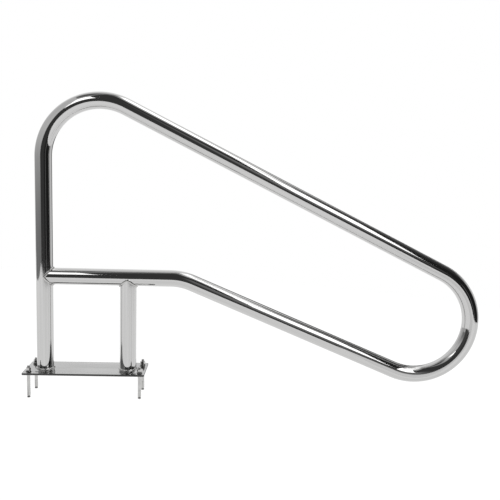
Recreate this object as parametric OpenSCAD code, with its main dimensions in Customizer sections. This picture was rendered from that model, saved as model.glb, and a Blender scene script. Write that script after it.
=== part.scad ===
// Deck-mounted pool handrail: one bent stainless tube, a short support post,
// a drilled base plate, four weld beads and four sleeve anchors.
// Origin: centre of the base plate's underside. +X runs towards the far end of
// the rail, +Z is up, and the tube's centreline lies in the plane y = 0.

/* [Rail tube] */
// Outside diameter of the tube
tube_od = 48.3; // [42:0.1:54]
// Wall thickness of the tube
tube_wall = 1.5; // [1:0.1:3]
// Radius of every bend, measured to the tube's centreline
bend_r = 163; // [140:1:180]
// How much the tube's radius draws in along a bend
bend_draw = 0.1; // [0.1:0.05:0.3]

/* [Rail shape] */
// Height of the top of the rail above the deck
rail_h = 810; // [780:1:840]
// Distance from the rail post's axis to the far end of the rail
rail_reach = 1286; // [1240:1:1330]
// Fall of the hand rail below the horizontal, in degrees
hand_slope = 26; // [24:0.5:28]
// Fall of the lower rail below the horizontal, in degrees
low_slope = 22.5; // [21:0.5:25]
// Height of the crossbar's axis above the deck
bar_h = 280; // [260:1:300]
// Distance between the axes of the rail post and the support post
post_gap = 242; // [220:1:260]

/* [Base plate] */
// Length of the base plate along the rail
plate_l = 350; // [340:1:400]
// Width of the base plate across the rail
plate_w = 120; // [110:1:160]
// Thickness of the base plate
plate_t = 6; // [5:0.5:10]
// Radius of the base plate's corners
corner_r = 4; // [1:0.5:8]
// Diameter of the four anchor holes
hole_d = 11; // [10.6:0.1:12]
// Distance of a hole's centre from the end of the plate
hole_end = 15; // [12:0.5:20]
// Distance of a hole's centre from the side of the plate
hole_side = 20; // [12:0.5:24]

/* [Welds] */
// Leg length of the ring welds on the base plate
ring_leg = 4; // [3:0.5:6]
// Width of the beads where two tubes meet
bead_w = 7; // [6:0.5:9]
// Height of those beads above the tubes
bead_h = 2; // [1.5:0.25:3]
// Root gap between a coped tube end and the tube it is welded to
root_gap = 0.2; // [0.1:0.1:0.5]

/* [Anchors] */
// Overall length of an anchor stud
stud_l = 95; // [90:1:110]
// Diameter of the threaded part of the stud
stud_d = 8; // [8:0.1:8.1]
// Diameter of the plain shank below the thread
shank_d = 7.2; // [6.8:0.1:7.4]
// Largest diameter of the stud's cone
cone_d = 10; // [9.9:0.1:10.2]
// Height of the cone's taper
cone_h = 3.4; // [3.2:0.1:4]
// Height of the cylindrical land at the foot of the cone
land_h = 2; // [1.5:0.1:3]
// Length of the plain shank
shank_l = 34; // [30:1:40]
// Outside diameter of the split sleeve
sleeve_d = 9.6; // [9.5:0.1:9.6]
// Inside diameter of the split sleeve
sleeve_bore = 8.4; // [8.3:0.1:8.5]
// Inside diameter at the sleeve's flared mouth
mouth_d = 9.1; // [9:0.1:9.2]
// Length of the split sleeve
sleeve_l = 72; // [68:1:72]
// Length of the four slots in the sleeve's foot
slot_l = 20; // [15:1:25]
// Width of those slots
slot_w = 1.2; // [0.8:0.1:1.6]
// Diameter of the flat washer
washer_d = 16; // [15:0.5:17]
// Thickness of the flat washer
washer_t = 1.6; // [1.2:0.1:2]
// Bore of the flat washer and of the spring washer
washer_bore = 8.4; // [8.3:0.1:8.8]
// Diameter of the spring washer
spring_d = 13; // [12.5:0.1:14]
// Thickness of the spring washer's section
spring_t = 2; // [1.5:0.1:2.2]
// Height by which the spring washer's ends stand apart
spring_rise = 1; // [0.5:0.1:1.5]
// Width of the nut across its flats
nut_af = 13; // [12.7:0.1:13.2]
// Height of the nut
nut_h = 6.5; // [6:0.1:7]
// Radial clearance between the nut and the stud
nut_gap = 0.05; // [0.03:0.01:0.08]
// Length of stud that stands above the nut
stud_proud = 6; // [4:0.5:8]

/* [Hidden] */

$fn = 96;
cut = 0.5;                                  // overshoot of every cutting shape
lap = 0.5;                                  // length by which straight tube laps over a bend

tube_r = tube_od / 2;
bore_r = tube_r - tube_wall;
rail_x = -post_gap / 2;                     // axis of the rail post
support_x = post_gap / 2;                   // axis of the support post

// Centres of the three bends as [x, z]
top_z = rail_h - tube_r - bend_r;
hand_run = rail_reach - tube_r - 2 * bend_r;
hand_l = hand_run / cos(hand_slope);
top_c = [rail_x + bend_r, top_z];
end_c = [top_c.x + hand_run, top_z - hand_run * tan(hand_slope)];
low_c_z = bar_h - bend_r;
low_c = [end_c.x - (2 * bend_r + cos(low_slope) * (low_c_z - end_c.y)) / sin(low_slope), low_c_z];
low_l = (end_c.x - low_c.x - 2 * bend_r * sin(low_slope)) / cos(low_slope);

// Anchor stack, from the plate's top up
anchor_x = plate_l / 2 - hole_end;
anchor_y = plate_w / 2 - hole_side;
anchor_at = [[-anchor_x, -anchor_y], [anchor_x, -anchor_y], [anchor_x, anchor_y], [-anchor_x, anchor_y]];
spring_z = plate_t + washer_t;
nut_z = spring_z + spring_t + spring_rise;
stud_top = nut_z + nut_h + stud_proud;
stud_foot = stud_top - stud_l;
sleeve_foot = plate_t - sleeve_l;
mouth_h = 2;                                // height of the flare inside the sleeve's foot
seam_w = 0.5;                               // gap of the rolled sleeve's seam
slot_end_d = 2.2;                           // round end of each slot
nut_chamfer = 0.7;                          // height of the nut's chamfer
nut_face_r = nut_af / 2 - 0.3;              // radius of the round flat inside that chamfer
tip_chamfer = 1;                            // chamfer of the stud's tip
split_deg = 12;                             // gap of the spring washer
split_steps = 36;                           // sections of the spring washer's helix

steel = "silver";
bright = "gainsboro";
zinc = "darkgray";

module tube_section(draw = 0) {
    difference() {
        circle(tube_r - draw);
        circle(bore_r - draw);
    }
}

// Straight tube from a point [x, z], falling by slope degrees towards +X
module straight_tube(start, slope, length) {
    translate([start.x, 0, start.y]) rotate([0, 90 + slope, 0])
        translate([0, 0, -lap]) linear_extrude(length + 2 * lap) tube_section();
}

// Bent tube about a centre [x, z], counted from +X towards +Z
module bent_tube(centre, from_deg, sweep) {
    translate([centre.x, 0, centre.y]) rotate([90, 0, 0]) rotate([0, 0, from_deg])
        rotate_extrude(angle = sweep) translate([bend_r, 0]) tube_section(bend_draw);
}

function on_bend(centre, deg) = centre + bend_r * [cos(deg), sin(deg)];

module rail_tube() {
    color(bright) {
        translate([rail_x, 0, plate_t]) linear_extrude(top_z - plate_t + lap) tube_section();
        bent_tube(top_c, 90 - hand_slope, 90 + hand_slope);
        straight_tube(on_bend(top_c, 90 - hand_slope), hand_slope, hand_l);
        bent_tube(end_c, -90 - low_slope, 180 + low_slope - hand_slope);
        straight_tube(on_bend(low_c, 90 - low_slope), low_slope, low_l);
        bent_tube(low_c, 90 - low_slope, low_slope);
        difference() {
            straight_tube([rail_x, bar_h], 0, low_c.x - rail_x);
            translate([rail_x, 0, 0]) cylinder(r = tube_r + root_gap, h = rail_h);
        }
    }
}

module support_post() {
    color(bright) difference() {
        translate([support_x, 0, plate_t]) linear_extrude(bar_h - plate_t) tube_section();
        translate([support_x, 0, bar_h]) rotate([0, 90, 0])
            cylinder(r = tube_r + root_gap, h = tube_od + 2 * cut, center = true);
    }
}

module plate_outline() {
    square([plate_l - 2 * corner_r, plate_w], center = true);
    square([plate_l, plate_w - 2 * corner_r], center = true);
    for (sx = [-1, 1]) for (sy = [-1, 1])
        translate([sx * (plate_l / 2 - corner_r), sy * (plate_w / 2 - corner_r)]) circle(corner_r);
}

module base_plate() {
    color(steel) difference() {
        linear_extrude(plate_t) plate_outline();
        for (at = anchor_at) translate([at.x, at.y, -cut]) cylinder(d = hole_d, h = plate_t + 2 * cut);
    }
}

// Convex fillet bead round the foot of a post
module ring_weld(x) {
    color(steel) translate([x, 0, plate_t]) rotate_extrude() translate([tube_r, 0]) intersection() {
        circle(ring_leg, $fn = 48);
        square(ring_leg);
    }
}

// Bead along the seam of a tube that runs along +X and ends on an upright tube
module saddle_weld() {
    reach = 2 * tube_od;
    outer_r = tube_r + bead_h;
    color(steel) difference() {
        intersection() {
            cylinder(r = outer_r, h = reach, center = true);
            translate([-bead_w / 2, 0, 0]) rotate([0, 90, 0]) cylinder(r = outer_r, h = reach);
            union() {
                for (tilt = [-45, 45]) rotate([0, tilt, 0]) cube([reach, reach, bead_w], center = true);
            }
        }
        cylinder(r = tube_r, h = reach, center = true);
        rotate([0, 90, 0]) cylinder(r = tube_r, h = 2 * reach, center = true);
    }
}

module crossbar_weld() {
    translate([rail_x, 0, bar_h]) saddle_weld();
}

module support_weld() {
    translate([support_x, 0, bar_h]) rotate([0, 90, 0]) saddle_weld();
}

module anchor_stud() {
    land_z = stud_foot + land_h;
    cone_z = land_z + cone_h;
    thread_z = cone_z + shank_l;
    color(zinc) rotate_extrude() polygon([
        [0, stud_foot],
        [cone_d / 2, stud_foot],
        [cone_d / 2, land_z],
        [shank_d / 2, cone_z],
        [shank_d / 2, thread_z],
        [stud_d / 2, thread_z],
        [stud_d / 2, stud_top - tip_chamfer],
        [stud_d / 2 - tip_chamfer, stud_top],
        [0, stud_top]
    ]);
}

module anchor_sleeve() {
    slot_top = sleeve_foot + slot_l;
    color(zinc) difference() {
        rotate_extrude() polygon([
            [mouth_d / 2, sleeve_foot],
            [sleeve_d / 2, sleeve_foot],
            [sleeve_d / 2, plate_t],
            [sleeve_bore / 2, plate_t],
            [sleeve_bore / 2, sleeve_foot + mouth_h]
        ]);
        for (turn = [0, 90]) rotate([0, 0, turn]) {
            translate([-sleeve_d, -slot_w / 2, sleeve_foot - cut]) cube([2 * sleeve_d, slot_w, slot_l + cut]);
            translate([0, 0, slot_top]) rotate([0, 90, 0])
                cylinder(d = slot_end_d, h = 2 * sleeve_d, center = true, $fn = 32);
        }
        rotate([0, 0, 45]) translate([0, -seam_w / 2, sleeve_foot - cut])
            cube([sleeve_d, seam_w, sleeve_l + 2 * cut]);
    }
}

module flat_washer() {
    color(zinc) translate([0, 0, plate_t]) difference() {
        cylinder(d = washer_d, h = washer_t);
        translate([0, 0, -cut]) cylinder(d = washer_bore, h = washer_t + 2 * cut);
    }
}

// Split ring whose two ends stand apart by spring_rise
module spring_washer() {
    corners = [[washer_bore / 2, 0], [spring_d / 2, 0], [spring_d / 2, spring_t], [washer_bore / 2, spring_t]];
    points = [
        for (i = [0:split_steps]) let (a = split_deg / 2 + (360 - split_deg) * i / split_steps)
            for (c = corners) [c.x * cos(a), c.x * sin(a), spring_z + c.y + spring_rise * i / split_steps]
    ];
    sides = [
        for (i = [0:split_steps - 1]) for (j = [0:3]) let (a = 4 * i + j, b = 4 * i + (j + 1) % 4)
            each [[a, a + 4, b + 4], [a, b + 4, b]]
    ];
    last = 4 * split_steps;
    ends = [[0, 1, 2, 3], [last + 3, last + 2, last + 1, last]];
    color(zinc) polyhedron(points, concat(sides, ends));
}

module hex_nut() {
    corner = nut_af / 2 / cos(30);
    clear_r = corner + cut;
    color(zinc) difference() {
        intersection() {
            translate([0, 0, nut_z]) cylinder(r = corner, h = nut_h, $fn = 6);
            rotate_extrude() polygon([
                [0, nut_z],
                [nut_face_r, nut_z],
                [clear_r, nut_z + nut_chamfer],
                [clear_r, nut_z + nut_h - nut_chamfer],
                [nut_face_r, nut_z + nut_h],
                [0, nut_z + nut_h]
            ]);
        }
        translate([0, 0, nut_z - cut]) cylinder(r = stud_d / 2 + nut_gap, h = nut_h + 2 * cut);
    }
}

base_plate();
rail_tube();
support_post();
ring_weld(rail_x);  // weld_rail_to_plate
ring_weld(support_x);  // weld_support_to_plate
crossbar_weld();  // weld_crossbar_to_rail
support_weld();  // weld_support_to_crossbar
for (i = [1:4]) translate([anchor_at[i - 1].x, anchor_at[i - 1].y, 0]) {
    anchor_sleeve();
    anchor_stud();
    flat_washer();
    spring_washer();
    hex_nut();
}
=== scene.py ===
"""Polished stainless pool handrail: detailed pieces, materials, camera and studio around
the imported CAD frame."""

import math

import bmesh
import bpy
from mathutils import Matrix, Vector, noise


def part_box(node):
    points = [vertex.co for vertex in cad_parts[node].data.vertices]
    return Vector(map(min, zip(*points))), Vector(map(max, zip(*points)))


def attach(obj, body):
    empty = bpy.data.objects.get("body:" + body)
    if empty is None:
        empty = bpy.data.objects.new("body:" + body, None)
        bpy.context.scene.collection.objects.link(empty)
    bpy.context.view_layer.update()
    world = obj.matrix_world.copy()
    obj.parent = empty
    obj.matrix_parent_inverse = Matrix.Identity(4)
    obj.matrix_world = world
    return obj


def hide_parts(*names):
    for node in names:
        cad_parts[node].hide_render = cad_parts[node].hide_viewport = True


MM = 0.001
TAU = 2 * math.pi

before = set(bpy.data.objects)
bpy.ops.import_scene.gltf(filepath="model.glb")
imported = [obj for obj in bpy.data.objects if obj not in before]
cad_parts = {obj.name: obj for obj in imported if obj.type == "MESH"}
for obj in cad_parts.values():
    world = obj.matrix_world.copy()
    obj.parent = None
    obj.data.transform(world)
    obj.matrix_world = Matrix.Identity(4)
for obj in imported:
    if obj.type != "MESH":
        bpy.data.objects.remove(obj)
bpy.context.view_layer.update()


# ---------------------------------------------------------------- sizes, in metres
# Read from the frame
rail_low, rail_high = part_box("rail_tube")
plate_low, plate_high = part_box("base_plate")
support_low, support_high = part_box("support_post")
stud_low, stud_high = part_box("anchor_stud_1")
washer_low, washer_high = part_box("flat_washer_1")
spring_low, spring_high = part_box("spring_washer_1")
nut_low, nut_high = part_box("hex_nut_1")

TUBE_R = (rail_high.y - rail_low.y) / 2
RAIL_X = rail_low.x + TUBE_R
SUPPORT_X = (support_low.x + support_high.x) / 2
PLATE_TOP = plate_high.z

# Named as the design names them
TUBE_WALL = 1.5 * MM
BEND_R = 163 * MM
BAR_Z = 280 * MM
HAND_SLOPE = 26
LOW_SLOPE = 22.5
ROOT_GAP = 0.2 * MM
RING_LEG = 4 * MM
BEAD_W = 7 * MM
BEAD_H = 1.6 * MM
HOLE_R = 5.5 * MM
CORNER_R = 4 * MM
THREAD_PITCH = 1.25 * MM


# ---------------------------------------------------------------- mesh helpers
def build(name, verts, faces, sharp=32, uvs=None):
    """A smooth-shaded mesh object. uvs holds one (u, v) per vertex, in metres."""
    mesh = bpy.data.meshes.new(name)
    mesh.from_pydata([tuple(v) for v in verts], [], faces)
    if uvs:
        layer = mesh.uv_layers.new(name="along")
        for loop in mesh.loops:
            layer.data[loop.index].uv = uvs[loop.vertex_index]
    bm = bmesh.new()
    bm.from_mesh(mesh)
    bmesh.ops.remove_doubles(bm, verts=bm.verts, dist=1e-7)
    bmesh.ops.dissolve_degenerate(bm, edges=bm.edges, dist=1e-7)
    bmesh.ops.recalc_face_normals(bm, faces=bm.faces)
    bm.to_mesh(mesh)
    bm.free()
    mesh.shade_smooth()
    mesh.set_sharp_from_angle(angle=math.radians(sharp))
    obj = bpy.data.objects.new(name, mesh)
    bpy.context.scene.collection.objects.link(obj)
    return obj


def grid_faces(rows, columns, wrap=True, close_rows=False):
    """Quads over a grid of rows x columns vertices. wrap joins the last column to the first."""
    last_column = columns if wrap else columns - 1
    last_row = rows if close_rows else rows - 1
    return [
        (
            i * columns + j,
            i * columns + (j + 1) % columns,
            (i + 1) % rows * columns + (j + 1) % columns,
            (i + 1) % rows * columns + j,
        )
        for i in range(last_row)
        for j in range(last_column)
    ]


def rounded(points, radius, steps=3):
    """A closed outline of (x, y) points with each corner turned into a short arc."""
    out = []
    for i, corner in enumerate(points):
        here = Vector(corner)
        to_last = (Vector(points[i - 1]) - here).normalized()
        to_next = (Vector(points[(i + 1) % len(points)]) - here).normalized()
        start, end = here + to_last * radius, here + to_next * radius
        for k in range(steps + 1):
            t = k / steps
            out.append(tuple(start * (1 - t) ** 2 + here * 2 * t * (1 - t) + end * t**2))
    return out


# ---------------------------------------------------------------- tubes
def route_of_rail():
    """The rail's centreline as stations (x, z, heading in degrees, distance), from the plate
    round to the crossbar."""
    hand = math.radians(HAND_SLOPE)
    low = math.radians(LOW_SLOPE)
    top_z = rail_high.z - TUBE_R - BEND_R
    run = rail_high.x - RAIL_X - TUBE_R - 2 * BEND_R
    end_x, end_z = RAIL_X + BEND_R + run, top_z - run * math.tan(hand)
    low_z = BAR_Z - BEND_R
    low_x = end_x - (2 * BEND_R + math.cos(low) * (low_z - end_z)) / math.sin(low)
    moves = [
        ("go", top_z - PLATE_TOP),
        ("turn", -(90 + HAND_SLOPE)),
        ("go", run / math.cos(hand)),
        ("turn", -(180 + LOW_SLOPE - HAND_SLOPE)),
        ("go", (end_x - low_x - 2 * BEND_R * math.sin(low)) / math.cos(low)),
        ("turn", LOW_SLOPE),
        ("go", low_x - RAIL_X),
    ]
    return stations(RAIL_X, PLATE_TOP, 90, moves)


def stations(x, z, heading, moves, straight_step=22 * MM, turn_step=1.5, ease=2 * MM):
    """Walks the moves and returns a list of (x, z, heading, distance). ease is how far from a
    straight's ends its first and last inner stations stand."""
    found, gone = [(x, z, heading, 0.0)], 0.0
    for kind, amount in moves:
        angle = math.radians(heading)
        if kind == "go":
            count = max(2, round(amount / straight_step))
            marks = [ease] + [amount * k / count for k in range(1, count)] + [amount - ease, amount]
            for mark in marks:
                at_x, at_z = x + mark * math.cos(angle), z + mark * math.sin(angle)
                found.append((at_x, at_z, heading, gone + mark))
            x, z = found[-1][:2]
            gone += amount
        else:
            side = math.copysign(1, amount)
            centre_x = x - side * BEND_R * math.sin(angle)
            centre_z = z + side * BEND_R * math.cos(angle)
            count = max(2, round(abs(amount) / turn_step))
            for k in range(1, count + 1):
                turned = angle + math.radians(amount) * k / count
                found.append((
                    centre_x + side * BEND_R * math.sin(turned),
                    centre_z - side * BEND_R * math.cos(turned),
                    math.degrees(turned),
                    gone + math.radians(abs(amount)) * BEND_R * k / count,
                ))
            x, z = found[-1][:2]
            heading += amount
            gone += math.radians(abs(amount)) * BEND_R
    return found


def tube(name, route, cope, around=96):
    """A hollow tube along a route in the plane y = 0. cope moves the last ring's points onto
    what it is welded to."""
    verts, uvs = [], []
    for radius in (TUBE_R, TUBE_R - TUBE_WALL):
        for i, (x, z, heading, gone) in enumerate(route):
            angle = math.radians(heading)
            side = Vector((-math.sin(angle), 0, math.cos(angle)))
            for j in range(around):
                turn = TAU * j / around
                out = math.cos(turn) * side + math.sin(turn) * Vector((0, 1, 0))
                point = Vector((x, 0, z)) + radius * out
                if i == len(route) - 1:
                    point = cope(point)
                verts.append(point)
                uvs.append((gone, turn * radius))
    rows = len(route)
    outer = grid_faces(rows, around)
    inner = [tuple(v + rows * around for v in reversed(face)) for face in outer]
    ends = []
    for row, flip in ((0, False), (rows - 1, True)):
        for j in range(around):
            a, b = row * around + j, row * around + (j + 1) % around
            face = (a, a + rows * around, b + rows * around, b)
            ends.append(tuple(reversed(face)) if flip else face)
    return build(name, verts, outer + inner + ends, 40, uvs)


def cope_depth(y):
    """How far a tube's surface, with the root gap, lies from its axis at a side distance y."""
    return math.sqrt((TUBE_R + ROOT_GAP) ** 2 - min(abs(y), TUBE_R) ** 2)


def make_rail():
    def onto_post(point):
        return Vector((RAIL_X + cope_depth(point.y), point.y, point.z))

    return tube("rail_tube_bent", route_of_rail(), onto_post)


def make_support():
    def under_bar(point):
        return Vector((point.x, point.y, BAR_Z - cope_depth(point.y)))

    route = stations(SUPPORT_X, PLATE_TOP, 90, [("go", BAR_Z - TUBE_R / 2 - PLATE_TOP)])
    top = route[-1]
    route = [s for s in route if s[1] < BAR_Z - TUBE_R - 3 * MM]
    route.append((top[0], BAR_Z - TUBE_R, 90, top[3]))
    return tube("support_post_coped", route, under_bar)


# ---------------------------------------------------------------- weld beads
RIPPLE = 2.4 * MM          # length of one weld ripple
RIPPLE_DEPTH = 0.14 * MM
SWELL_DEPTH = 0.12 * MM    # slower unevenness along the bead


def ripple_at(distance, across, seed):
    """Height of the weld's ripples, crescent-shaped across the bead, with a little unevenness."""
    drift = noise.noise(Vector((distance / (6 * RIPPLE), seed, 0))) * 0.9
    phase = distance / RIPPLE + 0.55 * across**2 + drift
    swell = noise.noise(Vector((distance / (3 * RIPPLE), 7 + seed, 0)))
    wave = 0.5 + 0.5 * math.cos(TAU * phase)
    return RIPPLE_DEPTH * wave * (1 - across**2) + SWELL_DEPTH * swell * (1 - across**2)


def ring_bead(name, x):
    """Fillet bead round the foot of a post."""
    length = TAU * TUBE_R
    count = 6 * round(length / RIPPLE)
    strips = 10
    verts, uvs = [], []
    for i in range(count):
        turn = TAU * i / count
        distance = length * i / count
        for k in range(strips + 1):
            across = 2 * k / strips - 1
            lift = math.radians(90 * k / strips)
            smooth = RING_LEG * (0.93 - 0.10 * math.sin(2 * lift))
            reach = smooth + ripple_at(distance, across, x) - RIPPLE_DEPTH
            radius = TUBE_R + reach * math.cos(lift)
            z = PLATE_TOP + reach * math.sin(lift)
            verts.append((x + radius * math.cos(turn), radius * math.sin(turn), z))
            uvs.append((distance, k * 0.6 * MM))
        root = TUBE_R - 0.3 * MM
        verts.append((x + root * math.cos(turn), root * math.sin(turn), PLATE_TOP + 0.05 * MM))
        uvs.append((distance, 0))
    return build(name, verts, grid_faces(count, strips + 2, wrap=True, close_rows=True), 50, uvs)


def saddle_bead(name, place):
    """Bead on the seam of a tube along +X that ends on an upright tube at the origin. place
    moves its points to where the bead is."""
    count, strips = 420, 10
    seam = TUBE_R + 0.5 * MM
    half = BEAD_W / 2
    path = []
    for i in range(count):
        turn = TAU * i / count
        y, z = TUBE_R * math.sin(turn), TUBE_R * math.cos(turn)
        path.append(Vector((math.sqrt(seam**2 - y * y), y, z)))
    verts, uvs, distance = [], [], 0.0
    for i, point in enumerate(path):
        along = (path[(i + 1) % count] - path[i - 1]).normalized()
        on_bar = Vector((0, point.y, point.z)).normalized()
        on_post = Vector((point.x, point.y, 0)).normalized()
        out = (on_bar + on_post).normalized()
        to_bar = along.cross(on_bar)
        to_post = along.cross(on_post)
        if to_bar.x < 0:
            to_bar = -to_bar
        if to_post.dot(to_bar) > 0:
            to_post = -to_post
        foot_bar = point + to_bar * half
        foot_post = point + to_post * half
        foot_bar = Vector((foot_bar.x, *(Vector(foot_bar[1:]).normalized() * TUBE_R)))
        flat = Vector(foot_post[:2]).normalized() * TUBE_R
        foot_post = Vector((flat.x, flat.y, foot_post.z))
        for k in range(strips + 1):
            t = k / strips
            across = 2 * t - 1
            crown = BEAD_H * 4 * t * (1 - t) * 0.8 + ripple_at(distance, across, 3)
            verts.append(place(foot_bar * (1 - t) + foot_post * t + out * crown))
            uvs.append((distance, t * BEAD_W))
        verts.append(place(point - out * 0.6 * MM))
        uvs.append((distance, 0))
        distance += (path[(i + 1) % count] - point).length
    return build(name, verts, grid_faces(count, strips + 2, wrap=True, close_rows=True), 50, uvs)


# ---------------------------------------------------------------- base plate
def round_rect(half_x, half_y, radius, steps=8):
    """Outline of a rectangle with round corners."""
    points = []
    for turn, (sx, sy) in zip((0, 90, 180, 270), ((1, 1), (-1, 1), (-1, -1), (1, -1))):
        for k in range(steps + 1):
            angle = math.radians(turn + 90 * k / steps)
            points.append((
                sx * (half_x - radius) + radius * math.cos(angle),
                sy * (half_y - radius) + radius * math.sin(angle),
            ))
    return points


def circle(x, y, radius, steps=64):
    turns = [TAU * k / steps for k in range(steps)]
    return [(x + radius * math.cos(t), y + radius * math.sin(t)) for t in turns]


def make_plate(anchor_places):
    """Base plate with softened edges and four drilled, lightly countersunk holes."""
    half_x, half_y = (plate_high.x - plate_low.x) / 2, (plate_high.y - plate_low.y) / 2
    soft = 0.7 * MM    # radius of the softened edges
    levels = []
    for degrees in (0, 30, 60, 90):
        angle = math.radians(degrees)
        inset, rise = soft * (1 - math.sin(angle)), soft * (1 - math.cos(angle))
        levels.append((inset, plate_low.z + rise))
    levels += [(inset, plate_low.z + plate_high.z - z) for inset, z in reversed(levels)]
    bm = bmesh.new()

    def wall(outline_at):
        rings = [[bm.verts.new((x, y, z)) for x, y in outline_at(inset)] for inset, z in levels]
        for lower, upper in zip(rings, rings[1:]):
            for j in range(len(lower)):
                k = (j + 1) % len(lower)
                bm.faces.new((lower[j], lower[k], upper[k], upper[j]))
        return rings[0], rings[-1]

    loops = [wall(lambda inset: round_rect(half_x - inset, half_y - inset, CORNER_R - inset))]
    for x, y in anchor_places:
        loops.append(wall(lambda inset, x=x, y=y: circle(x, y, HOLE_R + 0.6 * inset)))
    for side in (0, 1):
        rims = [
            bm.edges.get((loop[side][j], loop[side][(j + 1) % len(loop[side])]))
            for loop in loops
            for j in range(len(loop[side]))
        ]
        bmesh.ops.triangle_fill(bm, use_beauty=True, use_dissolve=False, edges=rims)
    bmesh.ops.recalc_face_normals(bm, faces=bm.faces)
    mesh = bpy.data.meshes.new("base_plate_drilled")
    bm.to_mesh(mesh)
    bm.free()
    mesh.shade_smooth()
    mesh.set_sharp_from_angle(angle=math.radians(25))
    obj = bpy.data.objects.new(mesh.name, mesh)
    bpy.context.scene.collection.objects.link(obj)
    return obj


# ---------------------------------------------------------------- anchors
def thread_radius(phase, crest, depth):
    """Radius of a rolled thread at a phase of its pitch, with a narrow flat crest and root."""
    t = abs((phase % 1.0) * 2 - 1)
    return crest - depth * min(1.0, max(0.0, (t - 0.12) / 0.76))


def stud_mesh():
    """Threaded stud with a plain shank and an expanding cone, about its own axis."""
    foot, top = stud_low.z, stud_high.z
    land, cone, shank_top = foot + 2 * MM, foot + 5.4 * MM, foot + 39.4 * MM
    crest, depth, shank = 3.98 * MM, 0.62 * MM, 3.6 * MM
    around, per_pitch = 36, 8
    chamfer = 1 * MM
    verts = []
    low_profile = [
        (0.0, foot),
        (4.6 * MM, foot),
        (5.0 * MM, foot + 0.4 * MM),
        (5.0 * MM, land),
        (4.4 * MM, land + 1.4 * MM),
        (shank + 0.05 * MM, cone - 0.3 * MM),
        (shank, cone),
        (shank, (cone + shank_top) / 2),
        (shank, shank_top - 0.5 * MM),
    ]
    for radius, z in low_profile:
        for j in range(around):
            turn = TAU * j / around
            verts.append((radius * math.cos(turn), radius * math.sin(turn), z))
    rows = int((top - shank_top) / THREAD_PITCH + 2) * per_pitch
    for i in range(rows + 1):
        for j in range(around):
            turn = TAU * j / around
            z = shank_top + THREAD_PITCH * (i / per_pitch - 1 + j / around)
            z = min(max(z, shank_top), top)
            radius = thread_radius(z / THREAD_PITCH - j / around, crest, depth)
            start = (z - shank_top) / (1.5 * THREAD_PITCH)
            if start < 1:
                radius = shank + (radius - shank) * start
            radius = min(radius, crest - chamfer + (top - z))
            verts.append((radius * math.cos(turn), radius * math.sin(turn), z))
    verts += [(0, 0, top)] * around
    return verts, grid_faces(len(low_profile) + rows + 2, around)


def nut_mesh():
    """Hex nut with chamfered corners and a countersunk bore, about its own axis."""
    foot, top = nut_low.z, nut_high.z
    half_af = (nut_high.y - nut_low.y) / 2
    bore, steps = 4.05 * MM, 96
    sink_width, sink_depth = 0.45 * MM, 0.5 * MM
    washer_face = half_af * 0.96
    corner_limit = half_af / math.cos(math.radians(30)) * 0.985
    columns = []
    for j in range(steps):
        turn = TAU * j / steps
        inside = (turn % math.radians(60)) - math.radians(30)
        wall = min(half_af / math.cos(inside), corner_limit)
        drop = max(0.0, wall - washer_face) * math.tan(math.radians(28)) + 0.04 * MM
        profile = [
            (bore, foot + sink_depth),
            (bore + sink_width, foot),
            (washer_face, foot),
            (wall, foot + drop),
            (wall, top - drop),
            (washer_face, top),
            (bore + sink_width, top),
            (bore, top - sink_depth),
        ]
        columns.append([(r * math.cos(turn), r * math.sin(turn), z) for r, z in profile])
    verts = [corner for ring in zip(*columns) for corner in ring]
    return verts, grid_faces(len(profile), steps, wrap=True, close_rows=True)


def washer_mesh():
    """Flat stamped washer with all its edges slightly rounded."""
    bore, rim = 4.2 * MM, (washer_high.x - washer_low.x) / 2
    foot, top = washer_low.z, washer_high.z
    profile = rounded([(bore, foot), (rim, foot), (rim, top), (bore, top)], 0.22 * MM)
    steps = 96
    verts = [
        (radius * math.cos(TAU * i / steps), radius * math.sin(TAU * i / steps), z)
        for i in range(steps)
        for radius, z in profile
    ]
    return verts, grid_faces(steps, len(profile), wrap=True, close_rows=True)


def spring_mesh():
    """Split spring washer: a rolled square section that climbs from one end to the other."""
    bore, rim = 4.2 * MM, 6.5 * MM
    thick = 2 * MM
    rise = spring_high.z - spring_low.z - thick
    gap = math.radians(12)
    section = rounded([(bore, 0), (rim, 0), (rim, thick), (bore, thick)], 0.25 * MM)
    steps = 110
    verts = []
    for i in range(steps + 1):
        t = i / steps
        turn = gap / 2 + (TAU - gap) * t
        for radius, z in section:
            height = spring_low.z + rise * t + z
            verts.append((radius * math.cos(turn), radius * math.sin(turn), height))
    count = len(section)
    faces = grid_faces(steps + 1, count)
    faces.append(tuple(range(count)))
    faces.append(tuple(reversed(range(steps * count, (steps + 1) * count))))
    return verts, faces


# ---------------------------------------------------------------- materials
def new_material(name):
    material = bpy.data.materials.new(name)
    material.use_nodes = True
    tree = material.node_tree
    tree.nodes.clear()
    return material, tree


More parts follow.
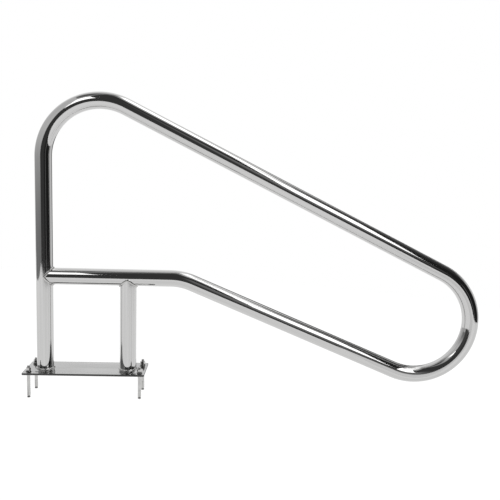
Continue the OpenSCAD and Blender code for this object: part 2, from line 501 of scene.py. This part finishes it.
def steel(name, colour, roughness, smudge, grain_scale, grain_depth, wave_depth,
          tone_scale=(9, 9, 9), uv=True, painted_side_shade=None):
    """Stainless steel: metal tone that drifts a little, smudged polish, fine polishing lines
    and a slight wave. painted_side_shade, where given, is a darker tone painted on the sheared
    faces that stand upright, a painted dark reflection; those faces are also made rougher."""
    material, tree = new_material(name)
    node, link = tree.nodes.new, tree.links.new

    def ranged(value, low, high, start=0.0, end=1.0):
        made = node("ShaderNodeMapRange")
        made.inputs["From Min"].default_value = start
        made.inputs["From Max"].default_value = end
        made.inputs["To Min"].default_value = low
        made.inputs["To Max"].default_value = high
        link(value, made.inputs["Value"])
        return made.outputs["Result"]

    def stretched(source, scale, detail):
        fit = node("ShaderNodeMapping")
        fit.inputs["Scale"].default_value = scale
        link(source, fit.inputs["Vector"])
        made = node("ShaderNodeTexNoise")
        made.inputs["Scale"].default_value = 1
        made.inputs["Detail"].default_value = detail
        link(fit.outputs["Vector"], made.inputs["Vector"])
        return made.outputs["Fac"]

    def blend(factor, edge_value, face_value):
        made = node("ShaderNodeMix")
        made.inputs[2].default_value = edge_value
        link(factor, made.inputs[0])
        link(face_value, made.inputs[3])
        return made.outputs[0]

    def bump(height, depth):
        made = node("ShaderNodeBump")
        made.inputs["Strength"].default_value = 1
        made.inputs["Distance"].default_value = depth
        link(height, made.inputs["Height"])
        return made

    out = node("ShaderNodeOutputMaterial")
    shader = node("ShaderNodeBsdfPrincipled")
    shader.inputs["Metallic"].default_value = 1.0
    link(shader.outputs["BSDF"], out.inputs["Surface"])

    where = node("ShaderNodeTexCoord")
    place = where.outputs["Object"]
    along = place
    if uv:
        layer = node("ShaderNodeUVMap")
        layer.uv_map = "along"
        along = layer.outputs["UV"]

    mix = node("ShaderNodeMix")
    mix.data_type = "RGBA"
    mix.blend_type = "MULTIPLY"
    mix.inputs["Factor"].default_value = 1
    mix.inputs["A"].default_value = (*colour, 1)
    tone = ranged(stretched(along, tone_scale, 3), 0.90, 1.05, 0.3, 0.7)
    polish = ranged(stretched(place, (34, 34, 34), 6), roughness, roughness + smudge, 0.3, 0.8)
    # Upright faces get a painted dark reflection (a much darker tone) and a rougher finish.
    if painted_side_shade:
        split = node("ShaderNodeSeparateXYZ")
        facing_up = node("ShaderNodeMath")
        facing_up.operation = "ABSOLUTE"
        link(where.outputs["Normal"], split.inputs[0])
        link(split.outputs["Z"], facing_up.inputs[0])
        on_face = ranged(facing_up.outputs[0], 0, 1, 0.15, 0.85)
        tone = blend(on_face, painted_side_shade / colour[0], tone)
        polish = blend(on_face, 0.3, polish)
    link(tone, mix.inputs["B"])
    link(mix.outputs["Result"], shader.inputs["Base Color"])
    link(polish, shader.inputs["Roughness"])

    grain = bump(stretched(along, grain_scale, 3), grain_depth)
    wave = bump(stretched(place, (16, 16, 16), 1), wave_depth)
    link(grain.outputs["Normal"], wave.inputs["Normal"])
    link(wave.outputs["Normal"], shader.inputs["Normal"])
    return material


def finish_piece(obj, material, slot, body, *nodes):
    """Gives a piece its material, its body and the CAD nodes it stands for. slot is not used."""
    obj.data.materials.clear()
    obj.data.materials.append(material)
    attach(obj, body)
    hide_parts(*nodes)


# ---------------------------------------------------------------- studio
def emitter(name, strength, foot_strength=None):
    """Even light, or light that fades towards the panel's lower edge."""
    material, tree = new_material(name)
    out = tree.nodes.new("ShaderNodeOutputMaterial")
    glow = tree.nodes.new("ShaderNodeEmission")
    glow.inputs["Strength"].default_value = strength
    if foot_strength:
        where = tree.nodes.new("ShaderNodeTexCoord")
        split = tree.nodes.new("ShaderNodeSeparateXYZ")
        fade = tree.nodes.new("ShaderNodeMapRange")
        fade.interpolation_type = "SMOOTHSTEP"
        fade.inputs["From Min"].default_value = 0.05
        fade.inputs["From Max"].default_value = 0.48
        fade.inputs["To Min"].default_value = foot_strength
        fade.inputs["To Max"].default_value = strength
        tree.links.new(where.outputs["Generated"], split.inputs[0])
        tree.links.new(split.outputs["Y"], fade.inputs["Value"])
        tree.links.new(fade.outputs["Result"], glow.inputs["Strength"])
    tree.links.new(glow.outputs["Emission"], out.inputs["Surface"])
    return material


def make_camera():
    """The camera that sees the object from the side, a little above its middle."""
    place = (0.395, -1.972, 0.627)
    yaw, pitch, roll = (math.radians(a) for a in (2.30, 7.44, 1.58))
    ahead = Vector((math.sin(yaw), math.cos(yaw), 0))
    forward = ahead * math.cos(pitch) - Vector((0, 0, math.sin(pitch)))
    level = Vector((math.cos(yaw), -math.sin(yaw), 0))
    upright = level.cross(forward)
    right = level * math.cos(roll) + upright * math.sin(roll)
    up = upright * math.cos(roll) - level * math.sin(roll)
    data = bpy.data.cameras.new("camera")
    data.sensor_width = 36
    data.lens = 49.0
    data.clip_end = 100
    camera = bpy.data.objects.new("camera", data)
    axes = Matrix((right, up, -forward)).transposed()
    camera.matrix_world = Matrix.Translation(place) @ axes.to_4x4()
    bpy.context.scene.collection.objects.link(camera)
    bpy.context.scene.camera = camera


# Soft-edged zones of the studio above the floor: azimuth and elevation limits in degrees,
# softness, radiance. Azimuth 0 is towards -Y and 90 towards +X. Later zones cover earlier ones.
STUDIO = [
    ("left wall", -200, -62, -30, 22, 12, 0.60),
    ("upper left wall", -200, -56, 22, 52, 9, 0.85),
    ("back wall", 122, 222, -30, 66, 14, 1.1),
    ("back ceiling", -200, -126, 58, 82, 12, 0.82),
    ("left ceiling", -108, -42, 56, 100, 8, 0.12),
    ("low left flag", -64, -28, -30, 36, 7, 0.07),
    ("front flag", -32, 27, -60, 84, 6, 0.055),
    ("right flag", 20, 99, -60, 56, 8, 0.018),
    ("upper right flag", 70, 116, 28, 58, 8, 0.045),
    ("back right wall", 105, 215, -30, 22, 9, 0.85),
    ("back flag", 146, 170, -40, 34, 6, 0.05),
    ("softbox glow", 10, 28, 8, 36, 7, 0.24),
    ("light strip", 39.5, 43.5, -30, 8, 2, 0.22),
    ("top softbox", 61, 152, 60, 78, 4, 2.8),
    ("top of the room", -200, 200, 82, 100, 5, 0.20),
]
ROOM_TONE = 0.55


def make_world():
    """The studio: white to the camera, soft zones of light and dark for the steel to reflect."""
    world = bpy.data.worlds.new("studio")
    bpy.context.scene.world = world
    world.use_nodes = True
    tree = world.node_tree
    tree.nodes.clear()
    node, link = tree.nodes.new, tree.links.new

    def math_node(operation, *values):
        made = node("ShaderNodeMath")
        made.operation = operation
        for slot, value in zip(made.inputs, values):
            if isinstance(value, (int, float)):
                slot.default_value = value
            else:
                link(value, slot)
        return made.outputs[0]

    def smooth_step(value, start, end):
        made = node("ShaderNodeMapRange")
        made.interpolation_type = "SMOOTHSTEP"
        made.inputs["From Min"].default_value = start
        made.inputs["From Max"].default_value = end
        link(value, made.inputs["Value"])
        return made.outputs[0]

    where = node("ShaderNodeTexCoord")
    split = node("ShaderNodeSeparateXYZ")
    link(where.outputs["Generated"], split.inputs[0])
    x, y, z = split.outputs
    azimuth = math_node("DEGREES", math_node("ARCTAN2", x, math_node("MULTIPLY", y, -1)))
    elevation = math_node("DEGREES", math_node("ARCSINE", z))
    wrapped = math_node("MODULO", math_node("ADD", azimuth, 360), 360)

    tone = ROOM_TONE
    for name, az_from, az_to, el_from, el_to, soft, radiance in STUDIO:
        around = wrapped if az_to > 180 and az_from > 0 else azimuth
        edges = [
            smooth_step(around, az_from - soft, az_from + soft),
            smooth_step(around, az_to + soft, az_to - soft),
            smooth_step(elevation, el_from - soft, el_from + soft),
            smooth_step(elevation, el_to + soft, el_to - soft),
        ]
        mask = edges[0]
        for edge in edges[1:]:
            mask = math_node("MULTIPLY", mask, edge)
        mix = node("ShaderNodeMix")
        mix.label = name
        link(mask, mix.inputs[0])
        if isinstance(tone, float):
            mix.inputs[2].default_value = tone
        else:
            link(tone, mix.inputs[2])
        mix.inputs[3].default_value = radiance
        tone = mix.outputs[0]
    seen = node("ShaderNodeLightPath")
    shown = node("ShaderNodeMix")
    link(seen.outputs["Is Camera Ray"], shown.inputs[0])
    link(tone, shown.inputs[2])
    shown.inputs[3].default_value = 1.0
    back = node("ShaderNodeBackground")
    back.inputs["Color"].default_value = (1, 1, 1, 1)
    link(shown.outputs[0], back.inputs["Strength"])
    out = node("ShaderNodeOutputWorld")
    link(back.outputs[0], out.inputs["Surface"])


def make_softbox(name, place, aim, width, height, strength, tilt=0, foot_strength=None):
    """A flat light panel that the camera doesn't see. tilt turns it in its own plane, in degrees.
    foot_strength, where given, is the strength at its lower edge."""
    mesh = bpy.data.meshes.new(name)
    x, y = width / 2, height / 2
    mesh.from_pydata([(-x, -y, 0), (x, -y, 0), (x, y, 0), (-x, y, 0)], [], [(0, 1, 2, 3)])
    mesh.materials.append(emitter(name, strength, foot_strength))
    obj = bpy.data.objects.new(name, mesh)
    bpy.context.scene.collection.objects.link(obj)
    facing = (Vector(aim) - Vector(place)).to_track_quat("Z", "Y").to_matrix().to_4x4()
    turned = Matrix.Rotation(math.radians(tilt), 4, "Z")
    obj.matrix_world = Matrix.Translation(place) @ facing @ turned
    obj.visible_camera = False
    obj.visible_diffuse = False
    obj.visible_shadow = False


def make_floor(z, middle_x, reach_x, reach_y):
    """Plain pale oval floor, far enough below for the rail's far end and the anchors to hang
    clear of it."""
    mesh = bpy.data.meshes.new("floor")
    rim = [(middle_x + x * reach_x, y * reach_y, z) for x, y in circle(0, 0, 1, 96)]
    mesh.from_pydata(rim, [], [tuple(range(len(rim)))])
    material, tree = new_material("pale_floor")
    shader = tree.nodes.new("ShaderNodeBsdfPrincipled")
    shader.inputs["Base Color"].default_value = (0.2, 0.2, 0.2, 1)
    shader.inputs["Roughness"].default_value = 0.9
    shader.inputs["Specular IOR Level"].default_value = 0
    shader.inputs["Emission Color"].default_value = (1, 1, 1, 1)
    shader.inputs["Emission Strength"].default_value = 0.93
    out = tree.nodes.new("ShaderNodeOutputMaterial")
    tree.links.new(shader.outputs[0], out.inputs["Surface"])
    mesh.materials.append(material)
    obj = bpy.data.objects.new("floor", mesh)
    bpy.context.scene.collection.objects.link(obj)


# ---------------------------------------------------------------- the object
rail_steel = steel(
    "polished_tube_steel", (0.555, 0.553, 0.55), roughness=0.045, smudge=0.05,
    grain_scale=(3, 900, 1), grain_depth=0.000004, wave_depth=0.00022, tone_scale=(1.5, 110, 1),
)
make_camera()
make_world()
make_softbox("left_softbox", (-0.52, -1.08, 1.54), (0.1, 0, 0.5), 0.42, 0.72, 2.4, -31)
make_softbox("left_panel", (-0.64, -0.40, 1.0), (1, -0.40, 1.0), 1.4, 1.64, 0.74, 0, 0.24)
make_softbox("right_softbox", (3.64, -3.35, 4.30), (0.6, 0, 0.4), 4.4, 1.75, 2.4, -54)
make_softbox("low_card", (1.10, -0.62, -0.22), (0.95, 0, -0.22), 0.40, 0.54, 0.93)
make_softbox("grey_screen", (2.8, 1.2, 2.7), (2.8, 0, 2.7), 2.1, 3.2, 0.12)
make_floor(-0.5, -1.6, 5.9, 4.75)
bpy.context.scene.view_settings.view_transform = "Standard"

rail = make_rail()
finish_piece(rail, rail_steel, "rail_steel", "root", "rail_tube")
support = make_support()
finish_piece(support, rail_steel, "rail_steel", "root", "support_post")

weld_steel = steel(
    "polished_weld_steel", (0.50, 0.497, 0.49), roughness=0.17, smudge=0.12,
    grain_scale=(300, 300, 1), grain_depth=0.00001, wave_depth=0.0001, tone_scale=(150, 150, 1),
)
rail_foot = ring_bead("bead_rail_foot", RAIL_X)
finish_piece(rail_foot, weld_steel, "weld_steel", "root", "weld_rail_to_plate")
support_foot = ring_bead("bead_support_foot", SUPPORT_X)
finish_piece(support_foot, weld_steel, "weld_steel", "root", "weld_support_to_plate")
at_rail = saddle_bead("bead_crossbar", lambda p: Vector((RAIL_X + p.x, p.y, BAR_Z + p.z)))
finish_piece(at_rail, weld_steel, "weld_steel", "root", "weld_crossbar_to_rail")
at_bar = saddle_bead("bead_support_top", lambda p: Vector((SUPPORT_X + p.z, p.y, BAR_Z - p.x)))
finish_piece(at_bar, weld_steel, "weld_steel", "root", "weld_support_to_crossbar")

boxes = [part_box(f"anchor_stud_{i}") for i in range(1, 5)]
anchor_places = [((low.x + high.x) / 2, (low.y + high.y) / 2) for low, high in boxes]
plate_steel = steel(
    "polished_plate_steel", (0.49, 0.49, 0.488), roughness=0.10, smudge=0.08,
    grain_scale=(8, 900, 8), grain_depth=0.00001, wave_depth=0.0001, tone_scale=(6, 30, 6),
    # The plate's upright sides get a painted dark reflection, 0.07 in tone.
    uv=False, painted_side_shade=0.07,
)
finish_piece(make_plate(anchor_places), plate_steel, "plate_steel", "root", "base_plate")

anchor_steel = steel(
    "bright_anchor_steel", (0.52, 0.517, 0.51), roughness=0.16, smudge=0.14,
    grain_scale=(600, 600, 60), grain_depth=0.00001, wave_depth=0.00005, tone_scale=(70, 70, 70),
    uv=False,
)
shapes = {
    "stud": (stud_mesh(), 35, "stud_{}", "anchor_stud_{}"),
    "nut": (nut_mesh(), 20, "nut_{}", "hex_nut_{}"),
    "flat_ring": (washer_mesh(), 30, "anchor_{}", "flat_washer_{}"),
    "spring_ring": (spring_mesh(), 30, "anchor_{}", "spring_washer_{}"),
}
for i, (x, y) in enumerate(anchor_places, 1):
    for kind, ((verts, faces), sharp, body, node) in shapes.items():
        placed = [(vx + x, vy + y, vz) for vx, vy, vz in verts]
        piece = build(f"{kind}_{i}", placed, faces, sharp)
        finish_piece(piece, anchor_steel, "anchor_steel", body.format(i), node.format(i))
    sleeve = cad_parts[f"anchor_sleeve_{i}"]
    sleeve.data.materials.clear()
    sleeve.data.materials.append(anchor_steel)
